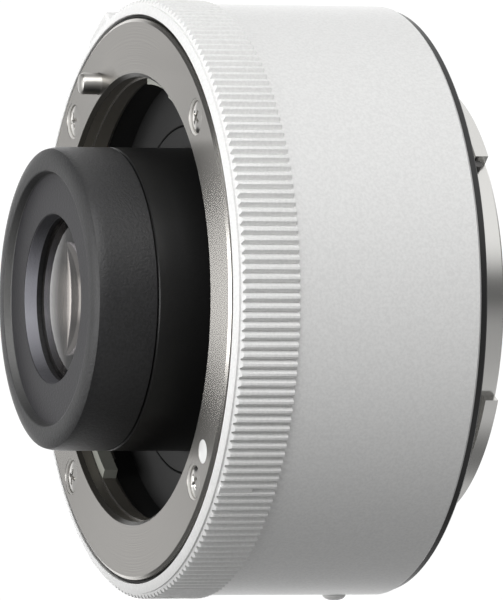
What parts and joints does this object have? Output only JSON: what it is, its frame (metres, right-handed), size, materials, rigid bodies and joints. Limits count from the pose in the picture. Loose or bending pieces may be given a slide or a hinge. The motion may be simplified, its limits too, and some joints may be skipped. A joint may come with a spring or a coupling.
{
  "type": "camera teleconverter",
  "caption": "Short white lens extender with a bayonet mount at each end, a black front barrel, a knurled grip ring and a sliding lens-release lever.",
  "frame": {"origin": "centre of the camera flange plane on the optical axis", "axes": "+Z along the optical axis towards the subject, +X is up in the picture, -Y faces the picture's camera"},
  "size_m": [0.0627, 0.0624, 0.0427],
  "materials": {
    "white_paint": "fine satin paint on aluminium",
    "white_bead": "glossy moulded bead",
    "white_fill": "paint filled recess",
    "mount_steel": "turned stainless steel",
    "polished_steel": "polished",
    "spring_steel": "rolled sheet",
    "dark_steel": "blackened",
    "chromed_brass": "satin chrome plate",
    "cast_frame": "die cast and machined",
    "black_moulding": "moulded, matt",
    "black_texture": "fine textured moulding",
    "black_anodised": "black anodised",
    "black_rubber": "matt",
    "gold_contact": "gold plated",
    "green_board": "solder mask",
    "amber_film": "polyimide film",
    "coated_glass": "multi coated"
  },
  "bodies": {
    "housing": {"front_mount_plate": "mount_steel", "front_mount_screws": "polished_steel", "mount_index_dot": "white_fill", "bayonet_spring": "spring_steel", "mount_well": "black_moulding", "main_frame": "cast_frame", "grip_ring": "white_paint", "groove_ring": "black_rubber", "barrel_shell": "white_paint", "index_bead": "white_bead", "rear_trim_ring": "black_anodised", "rear_mount": "chromed_brass", "bayonet_stop_pin": "dark_steel", "rear_mount_screws": "polished_steel", "rear_mount_shim": "spring_steel", "rear_cover": "black_moulding", "rear_contact_block": "black_moulding", "rear_contact_pads": "gold_contact", "front_contact_block": "black_moulding", "contact_pin_springs": "spring_steel", "circuit_board": "green_board", "board_chips": "black_moulding", "board_screws": "polished_steel", "front_flex": "amber_film", "rear_flex": "amber_film", "lock_spring": "spring_steel", "front_cap": "black_texture", "lens_barrel": "black_anodised", "barrel_flange": "black_anodised", "barrel_screws": "dark_steel", "front_spacer": "black_anodised", "front_retainer": "black_anodised", "middle_spacer": "black_anodised", "rear_spacer": "black_anodised", "rear_retainer": "black_anodised", "lens_1_front": "coated_glass", "lens_2_flint": "coated_glass", "lens_3_crown": "coated_glass", "lens_4_flint": "coated_glass", "lens_5_crown": "coated_glass", "lens_6_flint": "coated_glass", "lens_7_negative": "coated_glass", "lens_8_rear": "coated_glass"},
    "release": {"release_lever": "white_paint", "release_bracket": "spring_steel", "lock_pin": "polished_steel"},
    "contact_row": {"contact_pins": "gold_contact"}
  },
  "joints": [
    {"name": "release_slide", "type": "slide", "parent": "housing", "child": "release", "axis": [0, 0, -1], "range_m": [0, 0.0021], "stiffness_N_per_m": 500, "springref_m": -0.003, "deforming": ["lock_spring"]},
    {"name": "contact_press", "type": "slide", "parent": "housing", "child": "contact_row", "axis": [0, 0, -1], "range_m": [0, 0.0008], "stiffness_N_per_m": 400, "springref_m": -0.001, "deforming": ["contact_pin_springs"]}
  ]
}
